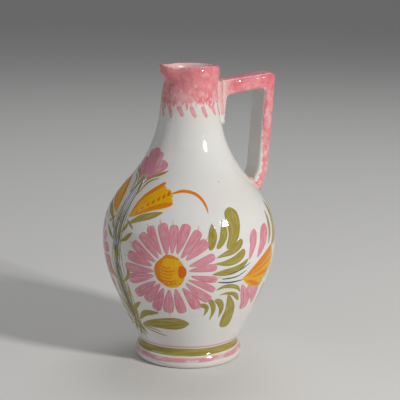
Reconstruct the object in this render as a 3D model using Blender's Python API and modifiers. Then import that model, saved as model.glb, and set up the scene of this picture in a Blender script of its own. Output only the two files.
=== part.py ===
"""A hand-thrown, glazed ceramic jug with a pinched spout and an angular strap handle.

Units are metres, +Z is up. The jug stands on its foot at z = 0, the handle points to +X and the spout to -X.
Everything hangs on the empty "jug_axis", which is the axis that the body is turned about.
"""

import math

import bmesh
import bpy
from mathutils import Matrix, Vector
from mathutils.geometry import interpolate_bezier

# Driving dimensions
HEIGHT = 0.200  # foot to the round part of the rim; the tip of the beak stands a little higher
BELLY_RADIUS = 0.0586
BELLY_HEIGHT = 0.0834
NECK_RADIUS = 0.0189
NECK_HEIGHT = 0.188  # where the neck is narrowest, under the lip
BASE_RADIUS = 0.0338
LIP_RADIUS = 0.0200
MOUTH_RADIUS = 0.0156
WALL = 0.004
FLOOR_HEIGHT = 0.0105  # inside floor of the jug
JOIN_HEIGHT = 0.137  # the neck is thrown separately and set on the shoulder here

# How the outline bends: the lengths of its curves' handles
NECK_RUN = 0.0688
SHOULDER_RISE = 0.0430
BELLY_DROP = 0.0138
BASE_FLARE = 0.0225
BASE_RISE = 0.0450
LIP_ROLL = 0.0022  # the crown of the rim lies this far inside its widest part
LIP_DROP = 0.0038  # and this far above it
LIP_UNDERCUT = 0.0048
MOUTH_DROP = 0.0036  # the mouth is narrowest this far below the crown
MOUTH_RUN = 0.0060

FOOT_RADIUS = 0.0367
FOOT_HEIGHT = 0.0123
FOOT_WAIST = 0.0340  # radius where the foot meets the body
FOOT_RING_INNER = 0.0285
FOOT_BORE = 0.0268
FOOT_RECESS = 0.0045  # how far the underside is hollowed
COVE_RUN = 0.0030  # the hollow under the body keeps its direction this far at each end
EDGE_HEIGHT = 0.0048  # the foot is widest here
EDGE_ROUND = 0.0030  # rounding of the edge that it stands on

SPOUT_REACH = 0.0016  # the beak stands out this far from the round lip
SPOUT_FLARE = 0.0016  # the crown of the rim turns out this much further, which sharpens the tip
SPOUT_WIDTH = 20.0  # degrees to each side
SPOUT_DEPTH = 0.0110  # from the crown down to where the beak starts
TIP_RISE = 0.0014  # the tip stands this far above the rest of the rim
TIP_WIDTH = 32.0
PINCH = 0.0014  # the lip is pressed in this far on each side of the beak
PINCH_SIDE = 42.0
PINCH_WIDTH = 20.0
THROAT = 0.0014  # hollow under the beak
THROAT_DROP = 0.0120  # from the crown down to its middle
THROAT_HEIGHT = 0.0050
THROAT_WIDTH = 50.0

HANDLE_WIDTH = 0.0173
HANDLE_THICKNESS = 0.0090  # at the upper bend
KNEE_THICKNESS = 0.0082
HANDLE_EDGE = 0.0014  # rounding of the strap's long edges
HANDLE_TOP = 0.1940
HANDLE_RISE = 0.0050  # the bar rises this far from the neck to the upper bend
BAR_DEPTH = 0.0095
HANDLE_REACH = 0.0629  # from the jug's axis to the outside of the upper bend
HANDLE_KNEE = 0.1262  # height of the lower bend
HANDLE_LEAN = 0.0050  # the strap comes in this far between the two bends
LEG_RUN = 0.0350  # height of the strap's slope below the knee, the end of it inside the body
LEG_SHIFT = 0.0130  # how far that slope comes in
INNER_RUN = 0.0190  # the same for the side that faces the body
INNER_SHIFT = 0.0099
WEB_REACH = 0.0238  # from the jug's axis to the web under the bar
WEB_TAPER = 0.0020  # the web loses this on its way down
WEB_DROP = 0.0370  # from the top of the bar down to the end of the web
END_REACH = 0.0150  # the strap's outline ends this near the axis, inside the wall that cuts it

OUTER_BEND = 0.0032  # radii of the strap's bends
INNER_BEND = 0.0020
WEB_BEND = 0.0030
OUTER_KNEE = 0.0016
INNER_KNEE = 0.0120

SLIP = 0.0015  # thickness of the slip that each end of the handle is stuck on with
SLIP_MARGIN = 0.0008  # how far the slip shows beyond the strap
SLIP_CORNER = 0.0030
UPPER_SLIP_REACH = (0.0100, 0.0300)  # from the jug's axis: the pads lie between these, on the wall
LOWER_SLIP_REACH = (0.0350, 0.0600)
LOWER_SLIP_DROP = (0.0158, 0.0046)  # below the knee, where the strap's lower end meets the belly
GAP = 0.0003  # clearance between neighbouring solids

SEGMENTS = 56  # facets around a turned piece
AXIS_X = (BELLY_RADIUS - HANDLE_REACH) / 2  # centres the jug's bounding box on the origin

GLAZE_WHITE = (0.80, 0.80, 0.77)
SPONGED_PINK = (0.78, 0.36, 0.40)
SLIP_CREAM = (0.82, 0.76, 0.70)


def clear_scene():
    for obj in list(bpy.data.objects):
        bpy.data.objects.remove(obj, do_unlink=True)


def make_collection(name, hidden=False):
    collection = bpy.data.collections.new(name)
    bpy.context.scene.collection.children.link(collection)
    collection.hide_render = hidden
    return collection


def make_material(name, colour, roughness):
    material = bpy.data.materials.new(name)
    material.use_nodes = True
    shader = material.node_tree.nodes["Principled BSDF"]
    shader.inputs["Base Color"].default_value = (*colour, 1.0)
    shader.inputs["Roughness"].default_value = roughness
    shader.inputs["Metallic"].default_value = 0.0
    return material


def bezier(start, handle_a, handle_b, end, points):
    """Points (radius, height) along one cubic curve, its end included."""
    return interpolate_bezier(*(Vector((x, z)) for x, z in (start, handle_a, handle_b, end)), points)


def joined(*curves):
    """One outline from curves that meet end to start."""
    outline = list(curves[0])
    for curve in curves[1:]:
        outline += list(curve)[1:]
    return outline


def offset(outline, distance):
    """The outline moved away from the solid, which lies on the right of its run."""
    moved = []
    for i, point in enumerate(outline):
        before = outline[max(i - 1, 0)]
        after = outline[min(i + 1, len(outline) - 1)]
        run = (after - before).normalized()
        moved.append(point + Vector((-run.y, run.x)) * distance)
    return moved


# ---------------------------------------------------------------- outlines

def body_wall():
    """Outside of the neck, shoulder and belly, from the narrowest part of the neck down to the base."""
    shoulder = bezier(
        (NECK_RADIUS, NECK_HEIGHT),
        (NECK_RADIUS, NECK_HEIGHT - NECK_RUN),
        (BELLY_RADIUS, BELLY_HEIGHT + SHOULDER_RISE),
        (BELLY_RADIUS, BELLY_HEIGHT),
        15,
    )
    belly = bezier(
        (BELLY_RADIUS, BELLY_HEIGHT),
        (BELLY_RADIUS, BELLY_HEIGHT - BELLY_DROP),
        (BASE_RADIUS + BASE_FLARE, FOOT_HEIGHT + BASE_RISE),
        (BASE_RADIUS, FOOT_HEIGHT + GAP),
        10,
    )
    return joined(shoulder, belly)


def lip_outside():
    """From the crown of the rim over the rolled lip down to the neck."""
    crown = (LIP_RADIUS - LIP_ROLL, HEIGHT)
    widest = (LIP_RADIUS, HEIGHT - LIP_DROP)
    roll = bezier(crown, (crown[0] + LIP_ROLL / 2, HEIGHT), (LIP_RADIUS, HEIGHT - LIP_DROP / 2), widest, 4)
    throat = bezier(
        widest,
        (LIP_RADIUS, HEIGHT - LIP_DROP - LIP_UNDERCUT),
        (NECK_RADIUS, NECK_HEIGHT + LIP_UNDERCUT),
        (NECK_RADIUS, NECK_HEIGHT),
        6,
    )
    return joined(roll, throat)


def lip_inside():
    """From the inside of the neck up to the crown of the rim."""
    neck = (NECK_RADIUS - WALL, NECK_HEIGHT)
    mouth = (MOUTH_RADIUS, HEIGHT - MOUTH_DROP)
    crown = (LIP_RADIUS - LIP_ROLL, HEIGHT)
    flare = bezier(neck, (neck[0], neck[1] + MOUTH_RUN), (mouth[0], mouth[1] - MOUTH_RUN), mouth, 4)
    roll = bezier(mouth, (mouth[0], HEIGHT - MOUTH_DROP / 2), (crown[0] - LIP_ROLL / 2, HEIGHT), crown, 4)
    return joined(flare, roll)


def split(outline, height):
    """A falling outline cut level at a height: (the part above, the part below)."""
    below = next(i for i, point in enumerate(outline) if point.y < height)
    high, low = outline[below - 1], outline[below]
    cut_point = high.lerp(low, (high.y - height) / (high.y - low.y))
    return outline[:below] + [cut_point], [cut_point] + outline[below:]


def neck_outline():
    """Closed wall section of the neck and its lip, from the rim down the outside and up the inside."""
    outer = split(body_wall(), JOIN_HEIGHT + GAP)[0]
    inner = split(offset(body_wall(), -WALL), JOIN_HEIGHT + GAP)[0]
    return joined(lip_outside(), outer) + inner[:0:-1] + lip_inside()


def body_outline():
    """Wall section of the body: inside floor, inner wall, the edge under the neck, outer wall, underside."""
    outer = split(body_wall(), JOIN_HEIGHT)[1]
    inner = split(offset(body_wall(), -WALL), JOIN_HEIGHT)[1][::-1]
    low_corner = inner[0]
    floor = bezier(
        (0.0, FLOOR_HEIGHT),
        (low_corner.x * 0.6, FLOOR_HEIGHT),
        (low_corner.x * 0.85, FLOOR_HEIGHT),
        tuple(low_corner),
        6,
    )
    plug_radius = FOOT_BORE - GAP
    chamfer = 0.0010
    underside = [
        Vector((plug_radius, FOOT_HEIGHT + GAP)),
        Vector((plug_radius, FOOT_RECESS + chamfer)),
        Vector((plug_radius - chamfer, FOOT_RECESS)),
        Vector((0.0, FOOT_RECESS)),
    ]
    return joined(floor, inner) + outer + underside


def foot_outline():
    """Closed section of the foot ring, starting inside its top."""
    cove = bezier(
        (FOOT_WAIST, FOOT_HEIGHT),
        (FOOT_WAIST, FOOT_HEIGHT - COVE_RUN),
        (FOOT_RADIUS, EDGE_HEIGHT + COVE_RUN),
        (FOOT_RADIUS, EDGE_HEIGHT),
        7,
    )
    round_edge = bezier(
        (FOOT_RADIUS, EDGE_HEIGHT),
        (FOOT_RADIUS, EDGE_HEIGHT / 2),
        (FOOT_RADIUS - EDGE_ROUND / 2, 0.0),
        (FOOT_RADIUS - EDGE_ROUND, 0.0),
        5,
    )
    bore = [
        Vector((FOOT_RING_INNER, 0.0)),
        Vector((FOOT_BORE, FOOT_RING_INNER - FOOT_BORE)),
        Vector((FOOT_BORE, FOOT_HEIGHT)),
        Vector((FOOT_WAIST, FOOT_HEIGHT)),
    ]
    return joined(cove, round_edge) + bore


def cutter_outline(distance):
    """The body's outside, moved out by distance and closed over the top and the bottom."""
    skin = offset(joined(lip_outside()[3:], body_wall()), distance)
    top = Vector((0.0, skin[0].y))
    bottom = Vector((0.0, skin[-1].y))
    return [top] + skin + [bottom]


def rounded(corners, arc_points=5):
    """A closed outline from (x, z, radius) corners, each rounded by an arc that touches both its sides."""
    outline = []
    for i, (x, z, radius) in enumerate(corners):
        corner = Vector((x, z))
        if radius == 0.0:
            outline.append(corner)
            continue
        before = (Vector(corners[i - 1][:2]) - corner).normalized()
        after = (Vector(corners[(i + 1) % len(corners)][:2]) - corner).normalized()
        half = before.angle(after) / 2
        centre = corner + (before + after).normalized() * radius / math.sin(half)
        start = corner + before * radius / math.tan(half) - centre
        sweep = start.angle_signed(corner + after * radius / math.tan(half) - centre)
        for step in range(arc_points + 1):
            turn = -sweep * step / arc_points
            outline.append(centre + Matrix.Rotation(turn, 2) @ start)
    return outline


def handle_outline():
    """Side view of the strap: a bar out from the neck, a bend, a long leg down, a knee and a foot on the belly."""
    knee = HANDLE_REACH - HANDLE_LEAN
    inner_knee = knee - KNEE_THICKNESS
    inner_knee_height = HANDLE_KNEE + 0.0010
    bar_end = HANDLE_TOP - HANDLE_RISE
    web_end = HANDLE_TOP - WEB_DROP
    return rounded([
        (END_REACH, bar_end, 0.0),
        (HANDLE_REACH, HANDLE_TOP, OUTER_BEND),
        (knee, HANDLE_KNEE, OUTER_KNEE),
        (knee - LEG_SHIFT, HANDLE_KNEE - LEG_RUN, 0.0),
        (inner_knee - INNER_RUN, HANDLE_KNEE - LEG_RUN, 0.0),
        (inner_knee - INNER_SHIFT, inner_knee_height - INNER_RUN, 0.0),
        (inner_knee, inner_knee_height, INNER_KNEE),
        (HANDLE_REACH - HANDLE_THICKNESS, HANDLE_TOP - BAR_DEPTH, INNER_BEND),
        (WEB_REACH, bar_end - BAR_DEPTH, WEB_BEND),
        (WEB_REACH - WEB_TAPER, web_end, 0.0),
        (END_REACH, web_end - (WEB_REACH - END_REACH), 0.0),
    ])


# ---------------------------------------------------------------- solids

def add_object(name, mesh, collection, parent, material=None):
    obj = bpy.data.objects.new(name, mesh)
    collection.objects.link(obj)
    obj.parent = parent
    if material is not None:
        mesh.materials.append(material)
    return obj


def evaluated_mesh(obj):
    """A plain mesh of the object with its modifiers applied."""
    graph = bpy.context.evaluated_depsgraph_get()
    return bpy.data.meshes.new_from_object(obj.evaluated_get(graph))


def turned(name, outline, collection, parent, material=None, closed=False):
    """The outline (radius, height) turned about the jug's axis with a Screw modifier."""
    mesh = bpy.data.meshes.new(name)
    points = [(point.x, 0.0, point.y) for point in outline]
    edges = [(i, i + 1) for i in range(len(points) - 1)]
    if closed:
        points.pop()
        edges[-1] = (len(points) - 1, 0)
    mesh.from_pydata(points, edges, [])
    obj = add_object(name, mesh, collection, parent, material)
    screw = obj.modifiers.new("Turned", "SCREW")
    screw.axis = "Z"
    screw.steps = SEGMENTS
    screw.render_steps = SEGMENTS
    screw.use_merge_vertices = True
    screw.merge_threshold = 0.00001
    screw.use_smooth_shade = True
    return obj


def smooth_step(value, low, high):
    share = min(max((value - low) / (high - low), 0.0), 1.0)
    return share * share * (3.0 - 2.0 * share)


def bell(value, width):
    return math.exp(-((value / width) ** 2))


def pull_spout(mesh):
    """Draws a beak out of the lip at -X, presses the lip in beside it and hollows the throat under it."""
    for vertex in mesh.vertices:
        x, y, z = vertex.co
        radius = math.hypot(x, y)
        rise = smooth_step(z, NECK_HEIGHT - LIP_UNDERCUT, HEIGHT - LIP_DROP)
        throat = bell(z - (HEIGHT - THROAT_DROP), THROAT_HEIGHT)
        side = abs(math.degrees(math.atan2(y, -x)))
        lip = smooth_step(z, HEIGHT - SPOUT_DEPTH, HEIGHT - SPOUT_DEPTH / 2)
        crown = smooth_step(z, HEIGHT - LIP_DROP, HEIGHT)
        moved = (SPOUT_REACH * lip + SPOUT_FLARE * crown) * bell(side, SPOUT_WIDTH)
        moved -= PINCH * bell(side - PINCH_SIDE, PINCH_WIDTH) * rise
        moved -= THROAT * bell(side, THROAT_WIDTH) * throat
        grown = (radius + moved) / radius
        vertex.co = (x * grown, y * grown, z + TIP_RISE * bell(side, TIP_WIDTH) * rise)


def make_neck(parts, axis, material):
    round_neck = turned("round_neck", neck_outline(), parts, axis, closed=True)
    mesh = evaluated_mesh(round_neck)
    bpy.data.objects.remove(round_neck, do_unlink=True)
    pull_spout(mesh)
    mesh.name = "neck"
    add_object("neck", mesh, parts, axis, material)
    mesh.shade_smooth()
    mesh.set_sharp_from_angle(angle=math.radians(50.0))


def flat_outline(name, outline, width, edge, collection):
    """A mesh of the (x, z) outline, extruded evenly to both sides of the XZ plane, its long edges rounded."""
    curve = bpy.data.curves.new(name, "CURVE")
    curve.dimensions = "2D"
    curve.fill_mode = "BOTH"
    curve.extrude = width / 2 - edge
    curve.bevel_depth = edge
    curve.bevel_resolution = 2
    curve.offset = -edge
    spline = curve.splines.new("POLY")
    spline.points.add(len(outline) - 1)
    for point, place in zip(spline.points, outline):
        point.co = (place.x, place.y, 0.0, 1.0)
    spline.use_cyclic_u = True
    drawn = bpy.data.objects.new(name, curve)
    collection.objects.link(drawn)
    drawn.rotation_euler = (math.radians(90.0), 0.0, 0.0)
    bpy.context.view_layer.update()
    mesh = evaluated_mesh(drawn)
    mesh.transform(drawn.matrix_world)
    bpy.data.objects.remove(drawn, do_unlink=True)
    bpy.data.curves.remove(curve)
    weld = bmesh.new()
    weld.from_mesh(mesh)
    bmesh.ops.remove_doubles(weld, verts=weld.verts, dist=0.00001)
    bmesh.ops.recalc_face_normals(weld, faces=weld.faces)
    weld.to_mesh(mesh)
    weld.free()
    return mesh


def cut(obj, cutter, operation="DIFFERENCE"):
    boolean = obj.modifiers.new(cutter.name, "BOOLEAN")
    boolean.operation = operation
    boolean.solver = "EXACT"
    boolean.object = cutter


def make_handle(parts, axis, material, cutter):
    mesh = flat_outline("handle", handle_outline(), HANDLE_WIDTH, HANDLE_EDGE, parts)
    handle = add_object("handle", mesh, parts, axis, material)
    mesh.shade_smooth()
    mesh.set_sharp_from_angle(angle=math.radians(40.0))
    cut(handle, cutter)


def make_slip(name, low, high, parts, axis, material, outer, inner):
    """A pad of slip between two (x, z) corners, shaped by the jug's wall on both faces."""
    mesh = bpy.data.meshes.new(name)
    block = bmesh.new()
    bmesh.ops.create_cube(block, size=1.0)
    size = Vector((high[0] - low[0], HANDLE_WIDTH + 2 * SLIP_MARGIN, high[1] - low[1]))
    centre = Vector(((low[0] + high[0]) / 2, 0.0, (low[1] + high[1]) / 2))
    bmesh.ops.scale(block, vec=size, verts=block.verts)
    bmesh.ops.translate(block, vec=centre, verts=block.verts)
    block.to_mesh(mesh)
    block.free()
    pad = add_object(name, mesh, parts, axis, material)
    rounding = pad.modifiers.new("Rounded corners", "BEVEL")
    rounding.width = SLIP_CORNER
    rounding.segments = 4
    cut(pad, outer, "INTERSECT")
    cut(pad, inner)


def hide_cutter(obj):
    obj.hide_render = True
    obj.display_type = "WIRE"


def build():
    clear_scene()
    parts = make_collection("jug")
    cutters = make_collection("cutters", hidden=True)
    axis = bpy.data.objects.new("jug_axis", None)
    axis.location = (AXIS_X, 0.0, 0.0)
    parts.objects.link(axis)

    glaze = make_material("white_glaze", GLAZE_WHITE, 0.12)
    foot_glaze = make_material("foot_glaze", GLAZE_WHITE, 0.18)
    pink = make_material("sponged_pink_glaze", SPONGED_PINK, 0.15)
    slip = make_material("glazed_slip", SLIP_CREAM, 0.20)

    wall_side = turned("wall_side_of_slip", cutter_outline(GAP), cutters, axis)
    strap_side = turned("strap_side_of_slip", cutter_outline(GAP + SLIP), cutters, axis)
    strap_end = turned("end_of_strap", cutter_outline(GAP + SLIP + GAP), cutters, axis)
    for cutter in (wall_side, strap_side, strap_end):
        hide_cutter(cutter)

    turned("body", body_outline(), parts, axis, glaze)
    make_neck(parts, axis, glaze)
    turned("foot_ring", foot_outline(), parts, axis, foot_glaze, closed=True)
    make_handle(parts, axis, pink, strap_end)
    upper_low = (UPPER_SLIP_REACH[0], HANDLE_TOP - WEB_DROP + 0.0020)
    upper_high = (UPPER_SLIP_REACH[1], HANDLE_TOP - HANDLE_RISE + SLIP_MARGIN)
    lower_low = (LOWER_SLIP_REACH[0], HANDLE_KNEE - LOWER_SLIP_DROP[0])
    lower_high = (LOWER_SLIP_REACH[1], HANDLE_KNEE - LOWER_SLIP_DROP[1])
    make_slip("upper_handle_slip", upper_low, upper_high, parts, axis, slip, strap_side, wall_side)
    make_slip("lower_handle_slip", lower_low, lower_high, parts, axis, slip, strap_side, wall_side)


build()
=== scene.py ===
"""Looks for the painted ceramic jug: glazed wall, foot, strap handle, slip joints and brushwork.

Lengths are millimetres until a mesh is made, and metres in the materials and on the stage. Places on
the wall are given as (angle, height), with the angle in degrees from the spout towards the handle.
Every stroke below the neck is painted on both sides of the jug, because the decoration mirrors about
the stems near the spout. The dabs on the neck go round it once.
"""

import math
import random

import bpy
import numpy as np
from mathutils import Matrix, Vector, noise
from mathutils.geometry import interpolate_bezier


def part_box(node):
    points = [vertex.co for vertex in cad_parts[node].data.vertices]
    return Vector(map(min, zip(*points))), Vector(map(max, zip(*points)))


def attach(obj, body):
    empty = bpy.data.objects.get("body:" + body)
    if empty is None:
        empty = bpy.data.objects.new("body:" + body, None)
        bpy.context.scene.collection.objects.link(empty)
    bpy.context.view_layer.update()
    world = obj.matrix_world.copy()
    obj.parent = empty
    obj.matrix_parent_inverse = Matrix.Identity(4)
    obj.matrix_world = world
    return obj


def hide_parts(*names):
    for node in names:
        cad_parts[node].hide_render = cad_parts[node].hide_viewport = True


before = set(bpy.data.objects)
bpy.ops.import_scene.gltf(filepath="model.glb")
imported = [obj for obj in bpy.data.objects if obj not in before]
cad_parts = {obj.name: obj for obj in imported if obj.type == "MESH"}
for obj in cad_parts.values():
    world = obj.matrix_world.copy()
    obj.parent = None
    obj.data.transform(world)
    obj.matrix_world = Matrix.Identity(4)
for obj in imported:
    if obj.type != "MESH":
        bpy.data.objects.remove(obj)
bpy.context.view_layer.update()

MM = 0.001

# ---- sizes, from the frame where it has them

BODY_LOW, BODY_HIGH = (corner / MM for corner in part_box("body"))
NECK_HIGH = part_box("neck")[1] / MM
FOOT_LOW, FOOT_HIGH = (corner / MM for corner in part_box("foot_ring"))
STRAP_LOW, STRAP_HIGH = (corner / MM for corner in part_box("handle"))

AXIS_X = (BODY_LOW.x + BODY_HIGH.x) / 2
TIP_RISE = 1.4  # the tip of the beak stands this far above the rest of the rim
HEIGHT = NECK_HIGH.z - TIP_RISE
BELLY_RADIUS = (BODY_HIGH.x - BODY_LOW.x) / 2
FOOT_RADIUS = (FOOT_HIGH.x - FOOT_LOW.x) / 2
FOOT_HEIGHT = FOOT_HIGH.z
RECESS_HEIGHT = BODY_LOW.z
STRAP_WIDTH = STRAP_HIGH.y - STRAP_LOW.y
STRAP_TOP = STRAP_HIGH.z

BELLY_HEIGHT = 83.4
NECK_RADIUS = 18.9
NECK_HEIGHT = 188.0
BASE_RADIUS = 33.8
LIP_RADIUS = 20.0
MOUTH_RADIUS = 15.6
WALL = 4.0
FLOOR_HEIGHT = 10.5
GAP = 0.3  # the CAD solids keep this far apart

# how far the handles of the wall's curves reach
NECK_RUN = 68.8
SHOULDER_RISE = 43.0
BELLY_DROP = 13.8
BASE_FLARE = 22.5
BASE_RISE = 45.0
LIP_ROLL = 2.2
LIP_DROP = 3.8
LIP_UNDERCUT = 4.8
MOUTH_DROP = 3.6
MOUTH_RUN = 6.0

FOOT_WAIST = 34.0
FOOT_BORE = 26.8
FOOT_RING_INNER = 28.5
COVE_RUN = 3.0
EDGE_HEIGHT = 4.8
EDGE_ROUND = 3.0
CREASE_LOW = (FOOT_WAIST + 0.15, FOOT_HEIGHT - 1.2)  # lower end of the glaze in the crease above the foot

# the beak, and the pinch and throat beside and under it; a SIDE is in degrees from the spout
SPOUT_REACH = 1.6
SPOUT_FLARE = 1.6
SPOUT_WIDTH = 20.0
SPOUT_DEPTH = 11.0
TIP_WIDTH = 32.0
PINCH = 1.4
PINCH_SIDE = 42.0
PINCH_WIDTH = 20.0
THROAT = 1.4
THROAT_DROP = 12.0
THROAT_HEIGHT = 5.0
THROAT_WIDTH = 50.0
BACK_RISE = 0.7  # on the near side the rim rises a little towards the handle
BACK_SIDE = 105.0
BACK_WIDTH = 40.0
THUMB_DIP = 1.5  # and dips where a thumb pressed it, beside the spout
THUMB_SIDE = 30.0
THUMB_WIDTH = 17.0

OVAL = 0.16  # how far the thrown belly is out of round, twice and three times in a turn
LOBES = 0.10
RING_DEPTH = 0.035
RING_PITCH = 1.05
UNEVEN_FROM = (14.0, 40.0)  # the unevenness of the throwing fades in and out over these heights
UNEVEN_TO = (172.0, 186.0)

STRAP_RISE = 5.0
STRAP_THICKNESS = 9.0
BAR_DEPTH = 9.5
WEB_REACH = 23.8
WEB_DROP = 37.0
KNEE_HEIGHT = 127.2
KNEE_REACH = 49.7
LEG_END = (39.8, 108.2)
STRAP_CROWN = 0.9  # the outer face of the strap is rounded off this much at its long edges
BEND_SWELL = 0.8  # the underside of the bar hangs this much lower towards the bend
STRAP_GROWTH = 0.26  # gives back what the softening takes off the strap
VOXEL = 0.5  # cell of the strap's mesh, before softening

SLIP_ROWS = 72
SLIP_COLUMNS = 56
SLIP_CORNER = 2.5
SLIP_HEIGHT = 2.5
SLIP_SINK = 0.25  # the thin edge of a bead of slip ends this far under the glaze
SLIP_BACK = -0.6  # and its back lies this deep

SEGMENTS = 288
PAINT_LIFT = 0.05  # the brushed colour stands this proud of the glaze
LAYER_LIFT = 0.025
TIP_HALF = 0.03  # no stroke gets thinner than this, to either side of its middle
STEMS_AT = 8.0  # the decoration mirrors about the stems, which stand this many degrees beside the spout


# ---- the wall

def curve(start, handle_a, handle_b, end, points):
    knots = [Vector((x, z)) for x, z in (start, handle_a, handle_b, end)]
    return np.array([tuple(p) for p in interpolate_bezier(*knots, points)])


def joined(*curves):
    return np.vstack([curves[0]] + [c[1:] for c in curves[1:]])


def outer_wall():
    """(radius, height) from the narrowest part of the neck down to the base."""
    shoulder = curve(
        (NECK_RADIUS, NECK_HEIGHT),
        (NECK_RADIUS, NECK_HEIGHT - NECK_RUN),
        (BELLY_RADIUS, BELLY_HEIGHT + SHOULDER_RISE),
        (BELLY_RADIUS, BELLY_HEIGHT),
        90,
    )
    belly = curve(
        (BELLY_RADIUS, BELLY_HEIGHT),
        (BELLY_RADIUS, BELLY_HEIGHT - BELLY_DROP),
        (BASE_RADIUS + BASE_FLARE, FOOT_HEIGHT + BASE_RISE),
        (BASE_RADIUS, FOOT_HEIGHT + GAP),
        70,
    )
    return joined(shoulder, belly)


def lip_outside():
    crown = (LIP_RADIUS - LIP_ROLL, HEIGHT)
    widest = (LIP_RADIUS, HEIGHT - LIP_DROP)
    roll = curve(
        crown, (crown[0] + LIP_ROLL / 2, HEIGHT), (LIP_RADIUS, HEIGHT - LIP_DROP / 2), widest, 12
    )
    throat = curve(
        widest,
        (LIP_RADIUS, HEIGHT - LIP_DROP - LIP_UNDERCUT),
        (NECK_RADIUS, NECK_HEIGHT + LIP_UNDERCUT),
        (NECK_RADIUS, NECK_HEIGHT),
        24,
    )
    return joined(roll, throat)


def lip_inside():
    neck = (NECK_RADIUS - WALL, NECK_HEIGHT)
    mouth = (MOUTH_RADIUS, HEIGHT - MOUTH_DROP)
    crown = (LIP_RADIUS - LIP_ROLL, HEIGHT)
    flare = curve(neck, (neck[0], neck[1] + MOUTH_RUN), (mouth[0], mouth[1] - MOUTH_RUN), mouth, 14)
    roll = curve(mouth, (mouth[0], HEIGHT - MOUTH_DROP / 2), (crown[0] - LIP_ROLL / 2, HEIGHT), crown, 12)
    return joined(flare, roll)


def normals_of(outline):
    """Unit normals that point away from the clay, which lies on the right of the outline's run."""
    run = np.gradient(outline, axis=0)
    run /= np.linalg.norm(run, axis=1)[:, None]
    return np.stack([-run[:, 1], run[:, 0]], axis=1)


SKIN = joined(lip_outside(), outer_wall())
SKIN_NORMALS = normals_of(SKIN)
SKIN_RUN = np.concatenate([[0.0], np.cumsum(np.linalg.norm(np.diff(SKIN, axis=0), axis=1))])


def run_at(height):
    """Distance down the wall from the crown of the rim to a height."""
    return np.interp(-np.asarray(height, float), -SKIN[:, 1], SKIN_RUN)


def radius_at(height):
    return float(np.interp(run_at(height), SKIN_RUN, SKIN[:, 0]))


def smooth_step(value, low, high):
    share = np.clip((value - low) / (high - low), 0.0, 1.0)
    return share * share * (3.0 - 2.0 * share)


def bell(value, width):
    return np.exp(-((value / width) ** 2))


def thrown(points):
    """What the potter's hands leave: a slightly oval belly and faint rings, on points about the axis."""
    x, y, z = points.T
    angle = np.arctan2(y, x)
    radius = np.maximum(np.hypot(x, y), 1e-6)
    body = smooth_step(z, *UNEVEN_FROM) * (1.0 - smooth_step(z, *UNEVEN_TO))
    oval = OVAL * np.cos(2 * angle + 0.7)
    lobes = LOBES * np.cos(3 * angle + z / 31.0)
    rings = RING_DEPTH * np.sin(z / RING_PITCH + 0.9 * np.sin(angle))
    grown = 1.0 + body * (oval + lobes + rings) / radius
    return np.stack([x * grown, y * grown, z], axis=1)


def spouted(points):
    """Draws a beak out of the lip, presses the lip in beside it and hollows the throat under it."""
    x, y, z = points.T
    radius = np.hypot(x, y)
    side = np.abs(np.degrees(np.arctan2(y, -x)))
    rise = smooth_step(z, NECK_HEIGHT - LIP_UNDERCUT, HEIGHT - LIP_DROP)
    lip = smooth_step(z, HEIGHT - SPOUT_DEPTH, HEIGHT - SPOUT_DEPTH / 2)
    crown = smooth_step(z, HEIGHT - LIP_DROP, HEIGHT)
    throat = bell(z - (HEIGHT - THROAT_DROP), THROAT_HEIGHT)
    moved = (SPOUT_REACH * lip + SPOUT_FLARE * crown) * bell(side, SPOUT_WIDTH)
    moved = moved - PINCH * bell(side - PINCH_SIDE, PINCH_WIDTH) * rise
    moved = moved - THROAT * bell(side, THROAT_WIDTH) * throat
    grown = 1.0 + moved / np.maximum(radius, 1.0)
    back = BACK_RISE * bell(side - BACK_SIDE, BACK_WIDTH)
    thumb = THUMB_DIP * bell(side - THUMB_SIDE, THUMB_WIDTH)
    lifted = (TIP_RISE * bell(side, TIP_WIDTH) + np.where(y < 0, back - thumb, 0.0)) * rise
    return np.stack([x * grown, y * grown, z + lifted], axis=1)


def formed(points):
    """Points about the jug's axis, as the thrown and spouted wall carries them, in the row frame."""
    return spouted(thrown(points)) + np.array([AXIS_X, 0.0, 0.0])


def on_wall(angle, run, lift, side):
    """Points on the wall: degrees from the spout, distance down from the rim, height above the glaze."""
    radius = np.interp(run, SKIN_RUN, SKIN[:, 0]) + lift * np.interp(run, SKIN_RUN, SKIN_NORMALS[:, 0])
    height = np.interp(run, SKIN_RUN, SKIN[:, 1]) + lift * np.interp(run, SKIN_RUN, SKIN_NORMALS[:, 1])
    turn = np.radians(angle)
    points = np.stack([-radius * np.cos(turn), side * radius * np.sin(turn), height], axis=-1)
    return formed(points.reshape(-1, 3)).reshape(points.shape)


# ---- meshes

def new_object(name, data):
    obj = bpy.data.objects.new(name, data)
    bpy.context.scene.collection.objects.link(obj)
    return obj


def add_piece(name, points, faces, material, replaced=()):
    mesh = bpy.data.meshes.new(name)
    mesh.from_pydata((np.asarray(points) * MM).tolist(), [], faces)
    mesh.validate()
    mesh.materials.append(material)
    mesh.shade_smooth()
    obj = new_object(name, mesh)
    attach(obj, "root")
    if replaced:
        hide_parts(*replaced)
    return obj


def set_attribute(obj, name, values):
    layer = obj.data.attributes.new(name, "FLOAT", "POINT")
    layer.data.foreach_set("value", np.asarray(values, np.float32))


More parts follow.
